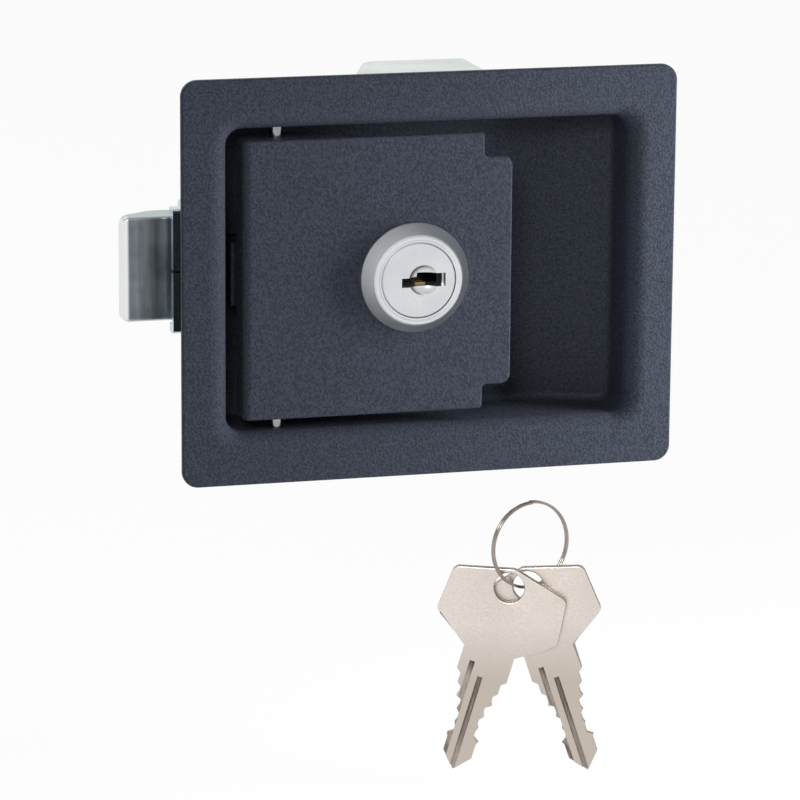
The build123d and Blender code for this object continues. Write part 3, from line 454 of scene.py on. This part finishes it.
def hexNut(x, z, y0, s):
    # a hexagon cut back to a cone at both faces, then bored
    corner = s["flats"] / math.sqrt(3)
    y1 = y0 + s["thick"]
    nut = barAlongY(x, z, y0, y1, corner, 6)
    cone = barAlongY(x, z, y0, y1, corner + nutTools["spare"], nutTools["coneSides"])
    for y in (y0, y1):
        bevelEnd(cone, y, s["chamfer"])
    over = nutTools["overrun"]
    bore = barAlongY(x, z, y0 - over, y1 + over, s["bore"], nutTools["boreSides"])
    useModifier(nut, "BOOLEAN", {"object": cone, "operation": "INTERSECT", "solver": "EXACT"})
    useModifier(nut, "BOOLEAN", {"object": bore, "operation": "DIFFERENCE", "solver": "EXACT"})
    for tool in (cone, bore):
        bpy.data.objects.remove(tool, do_unlink=True)
    return nut


def threadHelix(x, z, y0, y1, s):
    # one tooth of the thread, swept round and along the stud
    pickNothing()
    bpy.ops.mesh.primitive_plane_add(size=1, location=(0, 0, 0))
    tooth = bpy.context.object
    crestStart, crestEnd = s["toothCrest"]
    shape = ((s["root"], 0), (s["root"], s["pitch"] * s["toothRoot"]),
             (s["crest"], s["pitch"] * crestStart), (s["crest"], s["pitch"] * crestEnd))
    for vertex, (radius, along) in zip(tooth.data.vertices, shape):
        vertex.co = (radius * mm, along * mm, 0)
    bpy.ops.object.mode_set(mode="EDIT")
    bpy.ops.mesh.select_all(action="SELECT")
    bpy.ops.mesh.delete(type="ONLY_FACE")
    bpy.ops.object.mode_set(mode="OBJECT")
    turns = int((y1 - y0) / s["pitch"]) - 1
    useModifier(tooth, "SCREW", {
        "axis": "Y", "angle": math.radians(360), "screw_offset": s["pitch"] * mm,
        "iterations": turns, "steps": s["steps"], "render_steps": s["steps"],
        "use_merge_vertices": True, "merge_threshold": s["mergeGap"]})
    bpy.ops.object.mode_set(mode="EDIT")
    bpy.ops.mesh.select_all(action="DESELECT")
    bpy.ops.mesh.select_mode(type="EDGE")
    bpy.ops.mesh.select_non_manifold()
    bpy.ops.mesh.fill()
    bpy.ops.object.mode_set(mode="OBJECT")
    tooth.location = (x * mm, y0 * mm, z * mm)
    return tooth


def copyOf(node, name):
    # a copy of a CAD node's mesh to work on
    copy = bpy.data.objects.new(name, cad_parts[node].data.copy())
    bpy.context.collection.objects.link(copy)
    pickOnly(copy)
    return copy


nutLook = {"flats": 8.0, "thick": 4.0, "chamfer": 0.55, "bore": 2.18}
studLook = {
    "crest": 2.47,
    "root": 2.05,
    "pitch": 0.8,
    "toothRoot": 0.86,       # share of the pitch that the tooth covers at its root
    "toothCrest": (0.36, 0.50),
    "steps": 28,
    "mergeGap": 0.000001,    # m
    "threadStart": 1.4,
    "threadEnd": 0.2,
    "coreSpare": 0.01,       # the core is this much thicker than the thread's root
    "coreSides": 40,
    "sink": 0.2,             # the core starts this deep in the foot
    "tip": 0.55,
    "foot": 3.6,
    "footThick": 0.8,
    "footRim": 0.3,
    "footSides": 48,
}


def weldStud(x, z, start, end, s):
    # the welded foot, the core and the thread of one stud
    footEnd = start + s["footThick"]
    foot = barAlongY(x, z, start, footEnd, s["foot"], s["footSides"])
    bevelEnd(foot, footEnd, s["footRim"])
    core = barAlongY(x, z, start + s["sink"], end, s["root"] + s["coreSpare"], s["coreSides"])
    bevelEnd(core, end, s["tip"])
    thread = threadHelix(x, z, start + s["threadStart"], end - s["threadEnd"], s)
    return [foot, core, thread]


studLow, studHigh = edgesOf("clamp_studs")
studX, _, studZ = middleOf("clamp_studs")
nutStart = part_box("clamp_nuts")[0][1] / mm
spread = (studHigh[2] - studLow[2]) / 2 - studLook["foot"]
nuts, studs = [], []
for side in (-1, 1):
    z = studZ + side * spread
    nuts.append(hexNut(studX, z, nutStart, nutLook))
    studs += weldStud(studX, z, studLow[1], studHigh[1], studLook)
nuts = joinAll(nuts, "clampNutsChamfered")
studs = joinAll(studs, "weldStudsThreaded")
for piece, node in ((nuts, "clamp_nuts"), (studs, "clamp_studs")):
    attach(piece, "root")
    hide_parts(node)
    giveFinish(piece, "brightZincPlate")
tick("clamp nuts and weld studs")

lockNutLook = {"flats": 24.0, "thick": 3.0, "chamfer": 0.9, "bore": 9.1}
lockX, _, lockZ = middleOf("lock_nut")
lockNut = settle(hexNut(lockX, lockZ, edgesOf("lock_nut")[0][1], lockNutLook), "lockNutChamfered")
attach(lockNut, "paddle")
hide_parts("lock_nut")
giveFinish(lockNut, "brightZincPlate")
tick("lock nut")


keyLook = {
    "edgeRound": 0.35,
    "roundSegments": 3,
    "bowDepth": 22.0,        # mm down from the top of the bow that are rolled
    "flatAngle": 1,          # degrees, faces closer than this are one flat
    "sharpAngle": 35,
    "smoothAngle": 30,
    "faceOn": 0.95,          # a face that looks this squarely along the thickness is a flat
    "edgeOn": 0.3,           # and one that looks less than this along it is a side
    "flatShare": 0.9,        # flats nearer the middle than this share are the milled grooves
    "sideShare": 0.25,       # sides nearer the middle than this share are punched
}


def dressedKey(node, name, s):
    # a merged copy of the key with rolled edges; its grooves and punched sides get their own darker
    # finish, partly milled and punched metal and partly painted shade
    key = copyOf(node, name)
    mesh = key.data
    bpy.ops.object.mode_set(mode="EDIT")
    bpy.ops.mesh.select_all(action="SELECT")
    bpy.ops.mesh.remove_doubles(threshold=weldGap)
    bpy.ops.mesh.dissolve_limited(angle_limit=math.radians(s["flatAngle"]))
    bpy.ops.object.mode_set(mode="OBJECT")
    bpy.ops.object.mode_set(mode="EDIT")
    bpy.ops.mesh.select_mode(type="EDGE")
    bpy.ops.mesh.select_all(action="DESELECT")
    bpy.ops.mesh.edges_select_sharp(sharpness=math.radians(s["sharpAngle"]))
    bpy.ops.object.mode_set(mode="OBJECT")
    # only the bow is rolled, the cuts of the blade stay crisp
    bowEnd = max(vertex.co.z for vertex in mesh.vertices) - s["bowDepth"] * mm
    weights = mesh.attributes.new("bevel_weight_edge", "FLOAT", "EDGE")
    for edge in mesh.edges:
        if edge.select and min(mesh.vertices[v].co.z for v in edge.vertices) > bowEnd:
            weights.data[edge.index].value = 1.0
    useModifier(key, "BEVEL", {
        "width": s["edgeRound"] * mm, "segments": s["roundSegments"], "limit_method": "WEIGHT",
        "use_clamp_overlap": False, "loop_slide": False})
    mesh.materials.clear()
    for finish in ("brushedNickelKey", "milledNickelKeyShaded", "punchedNickelKeyShaded"):
        mesh.materials.append(finishes[finish])
    across = max(mesh.polygons, key=lambda face: face.area).normal.copy()
    depths = [across.dot(vertex.co) for vertex in mesh.vertices]
    heart, half = (max(depths) + min(depths)) / 2, (max(depths) - min(depths)) / 2
    for face in mesh.polygons:
        depth = abs(across.dot(face.center) - heart) / half
        facing = abs(across.dot(face.normal))
        if facing > s["faceOn"] and depth < s["flatShare"]:
            face.material_index = 1
        elif facing < s["edgeOn"]:
            face.material_index = 2 if depth < s["sideShare"] else 1
    bpy.ops.object.shade_smooth_by_angle(angle=math.radians(s["smoothAngle"]))
    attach(key, node)
    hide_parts(node)


dressedKey("key_front", "keyFrontMilled", keyLook)
dressedKey("key_back", "keyBackMilled", keyLook)
tick("keys with rolled edges and milled grooves")


boltCoil = {
    "travel": 10.2,          # mm that the bolt draws back
    "smoothAngle": 40,
}


def squeezedCoil(s):
    # the coil behind the bolt rests against its peg; here a welded, smooth-shaded copy of it, on the root
    # body
    coil = copyOf("bolt_spring", "boltCoilSqueezed")
    bpy.ops.object.mode_set(mode="EDIT")
    bpy.ops.mesh.select_all(action="SELECT")
    bpy.ops.mesh.remove_doubles(threshold=weldGap)
    bpy.ops.object.mode_set(mode="OBJECT")
    bpy.ops.object.shade_smooth_by_angle(angle=math.radians(s["smoothAngle"]))
    giveFinish(coil, "drawnSpringWire")
    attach(coil, "root")
    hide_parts("bolt_spring")
    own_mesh(coil)


squeezedCoil(boltCoil)
tick("bolt coil")


stageSettings = {
    "floorDrop": 4.0,        # mm under the lowest key
    "floorSize": 6.0,        # m
    "floorPaint": "#f4f4f4",
    "floorGlow": 0.95,       # the rest is lit paint, which keeps a faint shadow
    "ambient": 0.14,
    "zenith": 0.75,          # metal sees a white horizon and a dimmer ceiling
    "ceiling": (0.25, 0.95),
    "white": "#ffffff",
    "fill": "#e0e8f5",       # the shaded side is a little cool
    "darkSide": (-0.255, -0.939, 0.230),  # towards the unlit patch at the studio's front
    "darkRim": (0.94, 0.985),
    "darkLevel": 0.2,
}


def makeFloor(s):
    low = cadBox[0][2] - s["floorDrop"] * mm
    bpy.ops.mesh.primitive_plane_add(size=s["floorSize"], location=(0, 0, low))
    floor = bpy.context.object
    floor.name = "studioFloor"
    material = bpy.data.materials.new("paintedStudioFloor")
    material.use_nodes = True
    tree = material.node_tree
    tree.nodes.clear()
    diffuse = addNode(tree, "ShaderNodeBsdfDiffuse", {"Color": hexColor(s["floorPaint"])})
    glow = addNode(tree, "ShaderNodeEmission", {"Color": hexColor(s["white"]), "Strength": 1.0})
    rays = addNode(tree, "ShaderNodeLightPath")
    seen = addNode(tree, "ShaderNodeMath", {"operation": "MAXIMUM"},
                   {0: (rays, "Is Camera Ray"), 1: (rays, "Is Glossy Ray")})
    share = addNode(tree, "ShaderNodeMath", {"operation": "MULTIPLY", 1: s["floorGlow"]},
                    {0: (seen, "Value")})
    surface = addNode(tree, "ShaderNodeMixShader", {},
                      {0: (share, "Value"), 1: (diffuse, "BSDF"), 2: (glow, "Emission")})
    addNode(tree, "ShaderNodeOutputMaterial", links={"Surface": (surface, "Shader")})
    floor.data.materials.append(material)


def makeWorld(s):
    world = bpy.data.worlds.new("paleStudio")
    bpy.context.scene.world = world
    world.use_nodes = True
    tree = world.node_tree
    tree.nodes.clear()
    rays = addNode(tree, "ShaderNodeLightPath")
    way = addNode(tree, "ShaderNodeTexCoord")
    split = addNode(tree, "ShaderNodeSeparateXYZ", {}, {"Vector": (way, "Generated")})
    ceiling = addNode(tree, "ShaderNodeMapRange",
                      {"From Min": s["ceiling"][0], "From Max": s["ceiling"][1],
                       "To Min": 1.0, "To Max": s["zenith"]},
                      {"Value": (split, "Z")})
    side = addNode(tree, "ShaderNodeVectorMath", {"operation": "DOT_PRODUCT", 1: s["darkSide"]},
                   {0: (way, "Generated")})
    dim = addNode(tree, "ShaderNodeMapRange",
                  {"From Min": s["darkRim"][0], "From Max": s["darkRim"][1],
                   "To Min": 1.0, "To Max": s["darkLevel"]},
                  {"Value": (side, "Value")})
    studio = addNode(tree, "ShaderNodeMath", {"operation": "MULTIPLY"},
                     {0: (ceiling, "Result"), 1: (dim, "Result")})
    glossy = addNode(tree, "ShaderNodeMix", {"data_type": "FLOAT", 2: s["ambient"]},
                     {0: (rays, "Is Glossy Ray"), 3: (studio, "Value")})
    level = addNode(tree, "ShaderNodeMix", {"data_type": "FLOAT", 3: 1.0},
                    {0: (rays, "Is Camera Ray"), 2: (glossy, 0)})
    colour = mixTwo(tree, (rays, "Is Diffuse Ray"), s["white"], s["fill"])
    sky = addNode(tree, "ShaderNodeBackground", {}, {"Color": (colour, 2), "Strength": (level, 0)})
    addNode(tree, "ShaderNodeOutputWorld", links={"Surface": (sky, "Background")})


lampSettings = {
    # the raking strip lifts the coat's grain, and as it doesn't show in reflections it leaves no glare
    "rightStrip": {"place": (0.22, -0.085, 0.02), "aim": (0, 0, 0), "size": (0.07, 0.26),
                   "watts": 1.4, "glossy": False},
    "frontCard": {"place": (-0.457, -1.027, 0.50), "aim": (0, 0, -0.03), "size": (0.32, 0.32),
                  "watts": 4.6, "glossy": True},
    "backTop": {"place": (-0.25, 0.7, 0.7), "aim": (0, 0, 0), "size": (0.6, 0.4),
                "watts": 3.0, "glossy": True},
}


def makeLamp(name, s):
    bpy.ops.object.light_add(type="AREA", location=s["place"])
    lamp = bpy.context.object
    lamp.name = name
    lamp.data.shape = "RECTANGLE"
    lamp.data.size, lamp.data.size_y = s["size"]
    lamp.data.energy = s["watts"]
    lamp.visible_glossy = s["glossy"]
    away = Vector(s["place"]) - Vector(s["aim"])
    lamp.rotation_euler = away.to_track_quat("Z", "Y").to_euler()


makeFloor(stageSettings)
makeWorld(stageSettings)
for name, settings in lampSettings.items():
    makeLamp(name, settings)
bpy.context.scene.view_settings.view_transform = "Standard"
tick("floor, world and lamps set")
